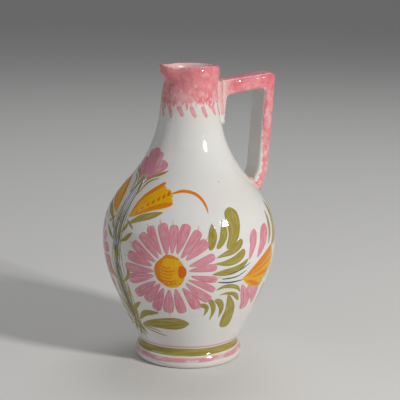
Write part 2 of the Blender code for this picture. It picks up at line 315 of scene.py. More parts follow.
def lathe(outline, closed=False):
    """Points and faces of an outline turned about the axis; an open outline starts and ends on the axis."""
    rings = outline if closed else outline[1:-1]
    angles = np.arange(SEGMENTS) * 2 * np.pi / SEGMENTS
    radius = rings[:, 0][:, None]
    height = np.repeat(rings[:, 1][:, None], SEGMENTS, 1)
    points = np.stack([radius * np.cos(angles), radius * np.sin(angles), height], axis=-1).reshape(-1, 3)
    faces = []
    count = len(rings)
    for ring in range(count if closed else count - 1):
        low, high = ring * SEGMENTS, (ring + 1) % count * SEGMENTS
        for i in range(SEGMENTS):
            j = (i + 1) % SEGMENTS
            faces.append((low + i, high + i, high + j, low + j))
    if not closed:
        first, last = len(points), len(points) + 1
        points = np.vstack([points, [0.0, 0.0, outline[0][1]], [0.0, 0.0, outline[-1][1]]])
        end = (count - 1) * SEGMENTS
        for i in range(SEGMENTS):
            j = (i + 1) % SEGMENTS
            faces.append((first, i, j))
            faces.append((last, end + j, end + i))
    return points, faces


def make_wall(material):
    """Body, neck and lip in one: the glaze covers the joint between the two thrown pieces."""
    inner = (outer_wall() + normals_of(outer_wall()) * -WALL)[::-2]
    corner = inner[0]
    floor = curve(
        (0.0, FLOOR_HEIGHT), (corner[0] * 0.6, FLOOR_HEIGHT), (corner[0] * 0.85, FLOOR_HEIGHT), corner, 24
    )
    plug = FOOT_BORE - GAP
    under = np.array([
        (plug + 4.0, FOOT_HEIGHT),
        (plug, FOOT_HEIGHT),
        (plug, RECESS_HEIGHT + 1.0),
        (plug - 0.3, RECESS_HEIGHT + 0.3),
        (plug - 1.0, RECESS_HEIGHT),
        (plug * 0.5, RECESS_HEIGHT + 0.2),
        (0.0, RECESS_HEIGHT + 0.2),
    ])
    inside = joined(floor, inner, lip_inside())
    outline = np.vstack([joined(inside, lip_outside(), outer_wall()), under])
    points, faces = lathe(outline)
    wall = add_piece("glazed_wall", formed(points), faces, material, ("body", "neck"))
    rim_rings = 4  # the inside's last rings count as outside
    inner_count = (len(inside) - rim_rings) * SEGMENTS
    set_attribute(wall, "inner_side", np.arange(len(points)) < inner_count)


def make_foot(material):
    """The turned foot, with glaze gathered in the crease under the body."""
    crease = curve(
        (radius_at(FOOT_HEIGHT + 2.2) - 0.05, FOOT_HEIGHT + 2.2),
        (radius_at(FOOT_HEIGHT + 1.0) + 0.10, FOOT_HEIGHT + 1.0),
        (FOOT_WAIST + 0.12, FOOT_HEIGHT),
        CREASE_LOW,
        14,
    )
    cove = curve(
        CREASE_LOW,
        (FOOT_WAIST + 0.2, FOOT_HEIGHT - COVE_RUN),
        (FOOT_RADIUS, EDGE_HEIGHT + COVE_RUN),
        (FOOT_RADIUS, EDGE_HEIGHT),
        20,
    )
    edge = curve(
        (FOOT_RADIUS, EDGE_HEIGHT),
        (FOOT_RADIUS, EDGE_HEIGHT / 2),
        (FOOT_RADIUS - EDGE_ROUND / 2, 0.0),
        (FOOT_RADIUS - EDGE_ROUND, 0.0),
        14,
    )
    inside = curve(
        (FOOT_RING_INNER, 0.0), (FOOT_RING_INNER - 1.0, 0.0), (FOOT_BORE, 0.7), (FOOT_BORE, 2.4), 8
    )
    top = np.array([
        (FOOT_BORE, RECESS_HEIGHT + 1.0),
        (FOOT_BORE - GAP, FOOT_HEIGHT),
        (FOOT_BORE, FOOT_HEIGHT + 0.45),
    ])
    points, faces = lathe(np.vstack([joined(crease, cove, edge), inside, top]), closed=True)
    points = thrown(points) + np.array([AXIS_X, 0.0, 0.0])
    add_piece("turned_foot", points, faces, material, ("foot_ring",))


def closed_sheet(rows, columns):
    """Faces of two grids of points, one over the other, sewn together round their rims."""
    base = rows * columns
    faces = []
    for i in range(rows - 1):
        for j in range(columns - 1):
            a = i * columns + j
            b, c, d = a + 1, a + columns + 1, a + columns
            faces.append((a, d, c, b))
            faces.append((base + a, base + b, base + c, base + d))
    rim = list(range(columns)) + [i * columns + columns - 1 for i in range(1, rows)]
    rim += [(rows - 1) * columns + j for j in range(columns - 2, -1, -1)]
    rim += [i * columns for i in range(rows - 2, 0, -1)]
    for a, b in zip(rim, rim[1:] + rim[:1]):
        faces.append((a, b, base + b, base + a))
    return faces


def slip_grid(low, high, reach):
    """Places down the wall and across it, round one end of the strap, and how far outside that each lies."""
    half_width = STRAP_WIDTH / 2 - 0.5
    top, bottom = run_at(high - 0.7), run_at(low + 0.9)
    down = np.linspace(top - reach, bottom + reach, SLIP_ROWS)
    sideways = np.linspace(-half_width - reach, half_width + reach, SLIP_COLUMNS)
    run, across = np.meshgrid(down, sideways, indexing="ij")
    out = np.stack([
        np.abs(run - (top + bottom) / 2) - ((bottom - top) / 2 - SLIP_CORNER),
        np.abs(across) - (half_width - SLIP_CORNER),
    ])
    outside = np.hypot(*np.maximum(out, 0.0)) + np.minimum(out.max(axis=0), 0.0) - SLIP_CORNER
    return run, across, outside


def make_slip(name, node, margin, material):
    """A bead of slip round one end of the strap: flat under the strap, running out thin over the wall."""
    low, high = (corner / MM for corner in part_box(node))
    run, across, outside = slip_grid(low.z, high.z, margin + 0.4)
    wander = np.array([
        [noise.noise(Vector((r * 0.35, a * 0.35, high.z))) for a in across[0]] for r in run[:, 0]
    ])
    share = np.clip(1.0 - (outside + 0.5 * wander) / margin, 0.0, 1.0)
    lift = SLIP_HEIGHT * share ** 2 - SLIP_SINK
    radius = np.interp(run, SKIN_RUN, SKIN[:, 0])
    angle = 180.0 - np.degrees(np.arcsin(np.clip(across / radius, -0.99, 0.99)))
    upper = on_wall(angle, run, lift, 1).reshape(-1, 3)
    lower = on_wall(angle, run, np.full_like(lift, SLIP_BACK), 1).reshape(-1, 3)
    faces = closed_sheet(SLIP_ROWS, SLIP_COLUMNS)
    bead = add_piece(name, np.vstack([upper, lower]), faces, material, (node,))
    set_attribute(bead, "proud", np.concatenate([lift.ravel(), np.zeros(lift.size)]))


def strap_inside():
    """(x, z) corners about the axis of the strap's side that faces the jug, from the neck to the belly."""
    return np.array([
        (WEB_REACH - 2.0, STRAP_TOP - WEB_DROP),
        (WEB_REACH, STRAP_TOP - STRAP_RISE - BAR_DEPTH),
        (STRAP_HIGH.x - AXIS_X - STRAP_THICKNESS, STRAP_TOP - BAR_DEPTH),
        (KNEE_REACH, KNEE_HEIGHT),
        LEG_END,
    ])


def away_from_line(points, corners):
    """How far each point lies from a line through the corners, and in which direction."""
    best = np.full(len(points), 1e9)
    away = np.zeros_like(points)
    for a, b in zip(corners[:-1], corners[1:]):
        along = np.clip(((points - a) @ (b - a)) / ((b - a) @ (b - a)), 0.0, 1.0)
        gap = points - (a + along[:, None] * (b - a))
        far = np.linalg.norm(gap, axis=1)
        closer = far < best
        best = np.where(closer, far, best)
        away[closer] = gap[closer] / np.maximum(far[closer], 1e-6)[:, None]
    return best, away


def softened_strap():
    """The CAD strap as one even, softened mesh."""
    mesh = bpy.data.objects["handle"].data.copy()
    mesh.materials.clear()
    obj = new_object("strap_handle", mesh)
    voxels = obj.modifiers.new("Voxels", "REMESH")
    voxels.mode = "VOXEL"
    voxels.voxel_size = VOXEL * MM
    soften = obj.modifiers.new("Soften", "SMOOTH")
    soften.factor = 0.5
    soften.iterations = 40
    graph = bpy.context.evaluated_depsgraph_get()
    mesh = bpy.data.meshes.new_from_object(obj.evaluated_get(graph))
    obj.modifiers.clear()
    obj.data = mesh
    return obj


def read_vectors(collection, name):
    """One row of three numbers for each item of a mesh's vertices or normals."""
    flat = np.empty(len(collection) * 3)
    collection.foreach_get(name, flat)
    return flat.reshape(-1, 3)


def make_handle(material):
    """The strap, softened and slightly uneven, as pulled clay is under a thick glaze."""
    obj = softened_strap()
    mesh = obj.data
    points = read_vectors(mesh.vertices, "co") / MM
    normals = read_vectors(mesh.vertex_normals, "vector")
    waves = [noise.noise(Vector(p) * 0.09) * 0.30 for p in points]
    dents = [noise.noise(Vector(p) * 0.33) * 0.10 for p in points]
    points += normals * (np.array(waves) + np.array(dents) + STRAP_GROWTH)[:, None]
    side = points[:, [0, 2]] - np.array([AXIS_X, 0.0])
    inside, away = away_from_line(side, strap_inside())
    set_attribute(obj, "from_inside", inside)
    edge = np.abs(points[:, 1]) / (STRAP_WIDTH / 2)
    crowned = STRAP_CROWN * edge ** 3 * smooth_step(inside, 3.0, 8.0)
    points[:, [0, 2]] -= away * crowned[:, None]
    near_bend = smooth_step(side[:, 0], 32.0, 50.0) * smooth_step(side[:, 1], 172.0, 183.0)
    points[:, 2] -= BEND_SWELL * near_bend * (1.0 - smooth_step(inside, 0.5, 6.0))
    mesh.vertices.foreach_set("co", (points * MM).ravel())
    mesh.materials.append(material)
    mesh.shade_smooth()
    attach(obj, "root")
    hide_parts("handle")


# ---- brushwork

# how wide a stroke is along its length, as (share of the length, share of the width); each form starts
# at (0, 0) unless its first point says otherwise, and ends at (1, 0)
FORMS = {
    "petal": [(0.05, 0.26), (0.28, 0.66), (0.52, 0.92), (0.76, 1.0), (0.92, 0.88), (0.98, 0.52)],
    "drop": [(0.12, 0.42), (0.30, 0.83), (0.50, 1.0), (0.70, 0.88), (0.86, 0.68), (0.96, 0.40)],
    "hook": [(0.04, 0.48), (0.14, 0.92), (0.34, 1.0), (0.62, 0.78), (0.84, 0.56), (0.96, 0.30)],
    "fan": [(0.06, 0.22), (0.50, 0.70), (0.86, 1.0), (0.96, 0.70)],
    "leaf": [(0.08, 0.40), (0.32, 0.88), (0.52, 1.0), (0.74, 0.82), (0.92, 0.36)],
    "comma": [(0.04, 0.55), (0.16, 0.92), (0.32, 1.0), (0.58, 0.78), (0.85, 0.32)],
    "blunt": [(0.10, 0.30), (0.40, 0.78), (0.68, 1.0), (0.88, 0.95), (0.97, 0.62)],
    "spear": [(0.12, 0.34), (0.45, 0.80), (0.72, 1.0), (0.88, 0.74), (0.96, 0.36)],
    "dab": [(0.0, 0.40), (0.10, 0.86), (0.35, 1.0), (0.70, 0.94), (0.90, 0.74), (0.97, 0.45)],
    "line": [(0.05, 0.60), (0.25, 1.0), (0.60, 0.95), (0.90, 0.55)],
    "round": [(0.02, 0.28), (0.067, 0.5), (0.25, 0.866), (0.5, 1.0), (0.75, 0.866), (0.933, 0.5),
              (0.98, 0.28)],
}


def form_line(form):
    """A form as finely spaced points."""
    inner = FORMS[form]
    start = [] if inner[0][0] == 0.0 else [(0.0, 0.0)]
    return through(start + inner + [(1.0, 0.0)], 40).clip(0.0)


class Brush:
    """Collects strokes of one colour and makes them one mesh of low beads of paint."""

    def __init__(self, seed):
        self.points, self.faces = [], []
        self.along, self.across, self.tone = [], [], []
        self.count = 0
        self.hand = random.Random(seed)

    def stroke(self, spine, width, form="leaf", layer=0, sides=(-1, 1), rows=26, columns=8):
        """A stroke along (angle, height) points, width across at its widest, shaped by one of FORMS.

        Side -1 is the near side. On the far side, 1, the points wander by up to half a degree and 0.5 mm.
        """
        for side in sides:
            tone = self.hand.random()
            wander = 0.0 if side < 0 else 0.5
            shift = 0.0 if side < 0 else -2.0 * STEMS_AT
            nodes = [
                (a + shift + self.hand.uniform(-wander, wander), z + self.hand.uniform(-wander, wander))
                for a, z in spine
            ]
            self.add(nodes, width, form, layer, side, rows, columns, tone)

    def add(self, spine, width, form, layer, side, rows, columns, tone):
        """One bead of paint: spaced closely at its ends and edges, and turned down into the glaze there."""
        fine = np.linspace(0.0, 1.0, 6 * rows)
        path = through([(a, run_at(z)) for a, z in spine], 6 * rows).T
        step_x = np.gradient(np.radians(path[0])) * np.interp(path[1], SKIN_RUN, SKIN[:, 0])
        step_y = np.gradient(path[1])
        along = 0.5 - 0.5 * np.cos(np.pi * np.linspace(0.0, 1.0, rows + 1))
        angle, run, step_x, step_y = (np.interp(along, fine, values) for values in (*path, step_x, step_y))
        length = np.maximum(np.hypot(step_x, step_y), 1e-9)
        radius = np.interp(run, SKIN_RUN, SKIN[:, 0])
        half = width / 2 * np.interp(along, *form_line(form).T) + TIP_HALF
        across = np.sin(np.linspace(-np.pi / 2, np.pi / 2, columns + 1))
        offset = half[:, None] * across
        turned = -(step_y / length)[:, None] * offset / radius[:, None]
        place_angle = angle[:, None] + np.degrees(turned)
        place_run = run[:, None] + (step_x / length)[:, None] * offset
        edge = np.maximum(np.abs(across)[None, :], np.abs(2.0 * along - 1.0)[:, None] ** 10)
        lift = PAINT_LIFT * (1.0 - 2.0 * edge ** 12) + LAYER_LIFT * layer
        points = on_wall(place_angle, place_run, lift, side).reshape(-1, 3)
        base = self.count
        for i in range(rows):
            for j in range(columns):
                a = base + i * (columns + 1) + j
                quad = (a, a + columns + 1, a + columns + 2, a + 1)
                self.faces.append(quad if side > 0 else quad[::-1])
        self.points.append(points)
        self.along.append(np.repeat(along, columns + 1))
        self.across.append(np.tile(across, rows + 1))
        self.tone.append(np.full(len(points), tone))
        self.count += len(points)

    def make(self, piece, material, slot="white_glaze"):
        obj = add_piece(piece, np.vstack(self.points), self.faces, material)
        for name, values in (("along", self.along), ("across", self.across), ("tone", self.tone)):
            set_attribute(obj, name, np.concatenate(values))


def through(points, count):
    """count points evenly along a smooth curve through the given ones."""
    knots = np.array([points[0]] + list(points) + [points[-1]], float)
    knots[0] = 2 * knots[1] - knots[2]
    knots[-1] = 2 * knots[-2] - knots[-3]
    fine = []
    for p0, p1, p2, p3 in zip(knots, knots[1:], knots[2:], knots[3:]):
        t = np.linspace(0.0, 1.0, 16, endpoint=False)[:, None]
        fine.append(0.5 * (2 * p1 + (p2 - p0) * t + (2 * p0 - 5 * p1 + 4 * p2 - p3) * t ** 2
                           + (3 * p1 - p0 - 3 * p2 + p3) * t ** 3))
    fine = np.vstack(fine + [knots[-2][None, :]])
    run = np.concatenate([[0.0], np.cumsum(np.linalg.norm(np.diff(fine, axis=0), axis=1))])
    at = np.linspace(0.0, run[-1], count)
    return np.stack([np.interp(at, run, fine[:, k]) for k in (0, 1)], axis=1)


DAISY = (50.8, 72.8)  # angle and height of its centre
DISC = (9.7, 11.0)  # half width and half height of its disc
PETAL_ROOT = 12.4  # the petals start about this far from the centre
PETAL_WIDTHS = (4.6, 7.4)  # the narrowest and the widest
PETALS = (  # the direction in degrees and the reach in mm of each petal
    (87, 30.8), (72, 33.0), (56, 33.0), (41, 31.3), (21, 30.6), (6, 30.5),
    (-10, 31.6), (-24, 33.0), (-37, 34.4), (-55, 32.3), (-77, 30.8), (-99, 30.6),
    (-117, 33.0), (-133, 31.6), (-147, 35.8), (-165, 34.5), (-180, 35.2),
    (165, 33.2), (148, 32.9), (133, 32.4), (119, 33.2), (103, 32.2),
)


def from_daisy(direction, distance):
    """(angle, height) at a distance in mm from the daisy's centre, 0 degrees towards the handle."""
    turn = math.radians(direction)
    per_degree = math.radians(1.0) * BELLY_RADIUS
    return DAISY[0] + distance * math.cos(turn) / per_degree, DAISY[1] + distance * math.sin(turn)


def paint_daisy(pink, yellow, orange, rust):
    for i, (direction, tip) in enumerate(PETALS):
        root = PETAL_ROOT + 0.8 * math.sin(i * 2.3)
        gap = math.radians((PETALS[i - 1][0] - PETALS[(i + 1) % len(PETALS)][0]) % 360 / 2)
        filled = 0.78 if abs(direction) < 30 else 0.95  # petals towards the handle leave more white
        width = min(max(filled * gap * 0.82 * tip, PETAL_WIDTHS[0]), PETAL_WIDTHS[1])
        bend = 1.5 * math.sin(i * 2.9)
        middle = from_daisy(direction + bend, (root + tip) / 2)
        spine = [from_daisy(direction, root), middle, from_daisy(direction, tip)]
        pink.stroke(spine, width + 0.3 * math.sin(i * 3.1), "petal", layer=i % 2)
        if i % 3 != 1:
            wisp = [from_daisy(direction + 1.5, tip - 1.5), from_daisy(direction + 3.0, tip + 2.6)]
            pink.stroke(wisp, 0.5, "line", rows=8, columns=4)
    angle, height = DAISY
    yellow.stroke([(angle, height - DISC[1]), (angle, height + DISC[1])], 2 * DISC[0], "round", columns=16)
    orange.stroke([(46.6, 83.2), (42.0, 76.5), (42.4, 69.0), (47.0, 63.6)], 4.2, layer=1)
    orange.stroke([(43.6, 80.0), (48.5, 83.4), (56.4, 81.8)], 2.4, layer=2)
    for i in range(6):
        low = 64.0 + 2.3 * i
        reach = 54.0 + 1.4 * math.sin(i * 2.1) - 0.4 * i
        orange.stroke([(43.6, low + 1.6), (48.5, low), (reach, low + 1.2)], 1.15, "line", layer=3)
    for i in range(4):
        start = 47.0 + 3.0 * i
        orange.stroke([(start, 67.0 - 0.4 * i), (start + 1.0, 63.4 + 0.3 * i)], 1.0, "line", layer=3)
    rust.stroke([(57.2, 69.0), (58.0, 73.4), (57.2, 77.6)], 5.4, "round", layer=4)


def paint_leaf_fans(olive):
    """The two fans of comma leaves between the daisy and the side flower."""
    olive.stroke([(77.4, 104.1), (77.5, 99.2), (77.4, 95.6), (76.7, 91.2), (75.5, 87.3)], 6.2, "drop")
    olive.stroke([(84.8, 106.3), (85.5, 101.2), (85.1, 96.9), (83.5, 92.7), (80.1, 88.0)], 5.5, "drop")
    comma = [(93.5, 112.9), (93.3, 108.3), (93.3, 102.3), (92.7, 97.4), (90.8, 92.6), (87.0, 87.5)]
    olive.stroke(comma, 11.0, "hook", rows=40)
    olive.stroke([(98.1, 93.0), (95.8, 89.5), (91.2, 86.1), (85.5, 84.1), (79.1, 82.0)], 5.6, "comma")
    olive.stroke([(99.9, 86.1), (97.5, 82.6), (92.8, 79.6), (85.7, 78.1), (78.2, 78.4)], 6.4, "comma")
    olive.stroke([(103.8, 79.2), (99.4, 75.6), (93.3, 72.8), (85.4, 71.7), (77.2, 71.0)], 5.4)
    olive.stroke([(81.2, 59.5), (86.5, 61.6), (92.6, 61.4), (98.0, 59.4), (101.9, 55.5)], 3.3)
    olive.stroke([(84.1, 55.6), (89.7, 56.4), (96.7, 54.8), (102.2, 49.5)], 3.4, "spear")
    olive.stroke([(91.1, 55.7), (94.4, 49.1), (96.4, 43.5), (96.3, 37.3), (95.8, 29.3)], 9.6, "blunt")
    olive.stroke([(81.5, 52.4), (85.7, 49.9), (88.2, 44.7), (87.6, 37.7)], 4.6, "comma")
    olive.stroke([(76.7, 53.4), (80.4, 48.5), (81.5, 43.1), (79.7, 36.5)], 3.9, "comma")
    olive.stroke([(69.3, 49.2), (74.8, 48.0), (76.0, 44.9), (74.1, 40.1)], 3.8, "comma")


def paint_side_flower(pink, yellow, orange, olive, ink):
    """A yellow cup with four pink petals, growing from the daisy towards the handle."""
    ink.stroke([(84.0, 67.4), (90.1, 67.4), (96.2, 68.2), (103.5, 71.4)], 1.0, "line")
    ink.stroke([(81.4, 65.4), (90.6, 64.3), (102.0, 64.8)], 1.2, "line")
    ink.stroke([(89.0, 70.6), (97.3, 72.2), (106.0, 76.2)], 0.9, "line")
    pink.stroke([(104.4, 77.8), (105.9, 82.6), (107.6, 87.7), (108.3, 92.2), (110.5, 97.7)], 7.4, "spear")
    pink.stroke([(112.0, 78.1), (115.7, 83.5), (118.6, 88.3), (120.6, 93.2), (124.1, 99.0)], 10.4, "spear")
    pink.stroke([(101.5, 61.0), (106.3, 53.8), (110.4, 47.7), (111.2, 41.2)], 8.8, "petal")
    pink.stroke([(110.0, 61.5), (115.4, 55.7), (120.2, 49.6), (122.8, 42.4)], 13.0, "comma")
    cup_base = (100.9, 65.7)
    yellow.stroke([cup_base, (113.0, 70.0), (134.0, 78.5)], 9.0, "fan", layer=2)
    yellow.stroke([cup_base, (113.0, 67.0), (135.0, 71.5)], 9.4, "fan", layer=3)
    yellow.stroke([cup_base, (112.0, 64.5), (131.0, 65.4)], 9.0, "fan", layer=4)
    yellow.stroke([cup_base, (110.7, 61.9), (126.4, 59.2)], 8.5, "blunt", layer=2)
    orange.stroke([(102.6, 66.5), (113.5, 73.0), (132.0, 82.0)], 5.6, "blunt", layer=5)
    orange.stroke([(105.0, 66.5), (118.0, 70.2), (134.5, 75.5)], 2.6, layer=5)
    orange.stroke([(107.0, 65.0), (119.0, 65.6), (131.5, 66.6)], 3.6, "spear", layer=5)
    orange.stroke([(105.0, 63.8), (114.0, 60.0), (124.0, 56.5)], 3.0, layer=5)
    olive.stroke([(131.0, 82.0), (136.9, 89.7), (140.0, 98.0), (140.3, 104.0), (138.6, 111.5)], 7.4)
    olive.stroke([(125.5, 84.5), (128.9, 91.5), (130.2, 98.0), (130.6, 106.4)], 4.4)
    olive.stroke([(134.0, 82.0), (144.0, 89.0), (148.5, 99.0), (147.0, 110.5)], 5.8)
    olive.stroke([(133.0, 56.0), (140.0, 49.0), (143.0, 38.0)], 3.6)
    olive.stroke([(131.5, 55.0), (134.0, 47.0), (132.5, 38.5)], 3.2)


def paint_stems(olive, ink):
    """The bundle of thin stems that rises under the spout, with small leaves beside it."""
    stem = [(16.6, 21.4), (8.6, 34.0), (7.4, 51.5), (8.6, 65.8), (9.3, 79.4), (10.8, 90.3), (11.3, 102.2),
            (11.9, 110.4), (11.8, 122.2), (10.1, 129.1)]
    ink.stroke(stem, 0.9, "line", layer=1, rows=60)
    ink.stroke([(a - 2.2, z + 1.5) for a, z in stem[1:-1]], 0.6, "line", layer=1, rows=50)
    for shift, width in ((-4.2, 1.0), (-1.1, 1.5), (2.0, 1.1), (-6.6, 0.8)):
        spine = [(a + shift * (1.0 - 0.4 * (i > 6)), z + shift * 0.3) for i, (a, z) in enumerate(stem[:8])]
        olive.stroke(spine, width, "line", rows=50)
    olive.stroke([(19.0, 22.0), (8.0, 33.0), (3.4, 47.0), (1.4, 62.0)], 1.8, rows=36)
    olive.stroke([(13.5, 17.6), (4.8, 30.0), (1.0, 43.0)], 1.6, rows=30)
    olive.stroke([(12.6, 88.6), (17.6, 91.6), (22.4, 96.0)], 3.0, layer=1)
    olive.stroke([(12.0, 94.5), (15.6, 98.5), (17.0, 102.4)], 2.4)
    olive.stroke([(10.8, 60.0), (17.4, 65.5), (18.8, 71.6)], 3.0, "blunt")
    olive.stroke([(10.9, 35.8), (14.6, 42.0), (23.5, 48.2)], 3.4)
    olive.stroke([(15.6, 33.4), (24.5, 39.6), (38.5, 42.0)], 4.8)
    olive.stroke([(15.4, 29.6), (30.0, 32.4), (46.0, 34.0), (63.0, 34.6)], 11.2, "spear")
    for i in range(3):
        end = (31.5 + 5.0 * i, 29.0 - 2.7 * i)
        olive.stroke([(15.5, 30.0 - i), ((end[0] + 16.0) / 2, end[1] + 2.0), end], 1.2, "line")


def paint_buds(pink, yellow, orange, rust, olive):
    """A yellow bud with a tendril, and a pink flower above it, on each side of the spout."""
    bud_base = (15.7, 104.9)
    yellow.stroke([bud_base, (24.6, 117.0), (39.6, 124.8)], 8.8, "blunt")
    yellow.stroke([bud_base, (29.0, 115.4), (47.2, 121.6)], 9.6, "blunt", layer=1)
    yellow.stroke([bud_base, (31.0, 112.8), (48.6, 117.4)], 8.4, "blunt", layer=2)
    orange.stroke([(16.6, 107.2), (22.9, 118.2), (38.4, 127.2)], 3.0, "blunt", layer=3)
    orange.stroke([(18.5, 105.4), (33.2, 112.0), (49.2, 115.6)], 3.3, "blunt", layer=3)
    for i in range(7):
        share = i / 6
        dot = (21.4 + 22.8 * share, 108.6 + 12.6 * share ** 0.8)
        size = 0.85 + 0.8 * share
        dab = [(dot[0] - 0.3, dot[1] - size), (dot[0] + 0.5, dot[1] + size)]
        rust.stroke(dab, 1.2 * size, "comma", layer=4, rows=10)
    tendril = [(46.9, 121.1), (56.3, 122.8), (66.1, 121.6), (72.0, 118.4), (75.0, 114.0), (75.9, 109.8)]
    orange.stroke(tendril, 2.2, "line", layer=3, rows=40)
    olive.stroke([(17.0, 100.8), (26.0, 105.2), (34.3, 107.6), (43.1, 110.3)], 5.2)
    olive.stroke([(14.8, 103.2), (19.0, 100.6), (22.5, 97.6)], 1.8)
    pink.stroke([(12.4, 127.6), (20.6, 132.4), (31.0, 139.4)], 8.2, "petal")
    pink.stroke([(10.6, 129.4), (14.2, 137.0), (19.0, 145.0)], 7.0, "petal")
    pink.stroke([(6.4, 130.0), (6.6, 138.0), (6.2, 147.0)], 6.4, "petal")
    olive.stroke([(12.6, 124.6), (18.5, 129.0), (27.8, 131.2), (38.0, 134.0)], 2.4)
    olive.stroke([(12.4, 117.6), (18.5, 126.0), (30.0, 129.4)], 1.5)
    olive.stroke([(3.0, 118.0), (6.6, 126.0), (5.6, 132.0)], 2.0)


def paint_neck_dabs(dabs):
    """Short slanting strokes down from the sponged band, round the neck as far as the handle's web."""
    hand = random.Random(11)
    for i in range(15):
        angle = -161.0 + 22.5 * i + hand.uniform(-1.5, 1.5)
        lean = 8.5 + hand.uniform(-1.5, 2.5)
        end = 167.6 + hand.uniform(-1.0, 1.2)
        points = ((0.0, 175.2), (0.25, 172.6), (0.6, 169.9), (1.0, end))
        spine = [(angle + lean * share, height) for share, height in points]
        dabs.stroke(spine, 3.0, "dab", sides=(-1,), rows=16)


# ---- materials

class Nodes:
    """Short forms for building a Principled material out of nodes."""

    def __init__(self, name):
        self.material = bpy.data.materials.new(name)
        self.material.use_nodes = True
        self.tree = self.material.node_tree
        self.shader = self.tree.nodes["Principled BSDF"]
        self.place = self.add("TexCoord").outputs["Object"]

    def add(self, kind, **settings):
        node = self.tree.nodes.new("ShaderNode" + kind)
        for key, value in settings.items():
            setattr(node, key, value)
        return node

    def put(self, socket, value):
        if isinstance(value, bpy.types.NodeSocket):
            self.tree.links.new(value, socket)
        elif isinstance(value, tuple) and len(value) == 3 and socket.type == "RGBA":
            socket.default_value = (*value, 1.0)
        else:
            socket.default_value = value

    def math(self, operation, a, b=0.0, c=0.0):
        node = self.add("Math", operation=operation)
        for socket, value in zip(node.inputs, (a, b, c)):
            self.put(socket, value)
        return node.outputs[0]

    def times(self, a, b):
        return self.math("MULTIPLY", a, b)

    def plus(self, a, b):
        return self.math("ADD", a, b)

    def minus(self, a, b):
        return self.math("SUBTRACT", a, b)

    def set_colour(self, colour):
        self.put(self.shader.inputs["Base Color"], colour)

    def ramp(self, value, low, high, to_low=0.0, to_high=1.0):
        """value mapped smoothly from low..high to to_low..to_high."""
        node = self.add("MapRange", interpolation_type="SMOOTHSTEP")
        for socket, given in zip(node.inputs, (value, low, high, to_low, to_high)):
            self.put(socket, given)
        return node.outputs["Result"]

    def mix(self, share, a, b):
        node = self.add("Mix", data_type="RGBA")
        self.put(node.inputs["Factor"], share)
        self.put(node.inputs["A"], a)
        self.put(node.inputs["B"], b)
        return node.outputs["Result"]

    def noise(self, scale, detail=2.0, place=None, roughness=0.5):
        node = self.add("TexNoise")
        self.put(node.inputs["Vector"], self.place if place is None else place)
        node.inputs["Scale"].default_value = scale
        node.inputs["Detail"].default_value = detail
        node.inputs["Roughness"].default_value = roughness
        return node.outputs["Fac"]

    def stretched(self, x, y, z):
        node = self.add("Mapping")
        self.put(node.inputs["Vector"], self.place)
        node.inputs["Scale"].default_value = (x, y, z)
        return node.outputs["Vector"]

    def parts(self, place=None):
        node = self.add("SeparateXYZ")
        self.put(node.inputs[0], self.place if place is None else place)
        return node.outputs

    def attribute(self, name):
        return self.add("Attribute", attribute_name=name).outputs["Fac"]

    def vector(self, x, y, z):
        node = self.add("CombineXYZ")
        for socket, value in zip(node.inputs, (x, y, z)):
            self.put(socket, value)
        return node.outputs[0]

    def bump(self, height, strength, distance):
        node = self.add("Bump")
        node.inputs["Strength"].default_value = strength
        node.inputs["Distance"].default_value = distance
        self.put(node.inputs["Height"], height)
        self.put(self.shader.inputs["Normal"], node.outputs["Normal"])


WHITE = (0.76, 0.755, 0.735)
WARM_WHITE = (0.72, 0.70, 0.655)
PINK_PALE = (0.80, 0.44, 0.44)
PINK = (0.76, 0.255, 0.275)
ROSE = (0.72, 0.155, 0.185)
DAB = (0.70, 0.27, 0.31)
PETAL = (0.64, 0.195, 0.25)
PETAL_PALE = (0.72, 0.33, 0.39)
OLIVE = (0.30, 0.245, 0.035)
OLIVE_PALE = (0.40, 0.335, 0.085)
YELLOW = (0.74, 0.36, 0.002)
YELLOW_PALE = (0.77, 0.43, 0.006)
ORANGE = (0.70, 0.165, 0.002)
ORANGE_PALE = (0.74, 0.28, 0.006)
ORANGE_DEEP = (0.60, 0.11, 0.002)
INK = (0.030, 0.045, 0.085)
INK_PALE = (0.10, 0.14, 0.20)
SPECK = (0.25, 0.17, 0.10)
BARE_FLECK = (0.80, 0.66, 0.64)
FADED_PINK = (0.80, 0.66, 0.62)
MOUTH_PINK = (0.80, 0.62, 0.60)
LINE_PINK = (0.70, 0.31, 0.33)
FOOT_PINK = (0.68, 0.30, 0.33)
# painted shade: the brown that darkens the foot's standing edge where it meets the floor
FOOT_CONTACT_SHADE = (0.55, 0.46, 0.36)

GLAZE_IOR = 1.52
PEEL_DEPTH = 0.0004

# heights in metres of the painted bands; a pair is where a soft edge starts and ends
OLIVE_LOW = (0.0084, 0.0089)
OLIVE_HIGH = (0.0134, 0.0138)
PINK_LINE = 0.0151
FOOT_BAND = 0.0062
# painted shade darkens the foot from the floor up to this height
CONTACT_SHADE_HEIGHT = 0.0016
SPONGE_EDGE = 0.1735
SPONGE_FULL = (0.176, 0.196)
SPONGE_INSIDE = 0.013  # inside the mouth the band ends this much higher
TAIL_REACH = 0.029  # the white end of the handle's web reaches out this far


def glaze_white(n):
    """Tin glaze: faint clouds of warmer white, and a few dark specks from the clay under it."""
    clouds = n.noise(28.0, 3.0)
    base = n.mix(n.ramp(clouds, 0.35, 0.75), WHITE, WARM_WHITE)
    specks = n.add("TexVoronoi", feature="F1")
    n.put(specks.inputs["Vector"], n.place)
    specks.inputs["Scale"].default_value = 95.0
    near = n.ramp(specks.outputs["Distance"], 0.03, 0.07, 1.0, 0.0)
    chosen = n.ramp(n.parts(specks.outputs["Color"])[0], 0.90, 0.93)
    return n.mix(n.times(n.times(near, chosen), 0.55), base, SPECK)


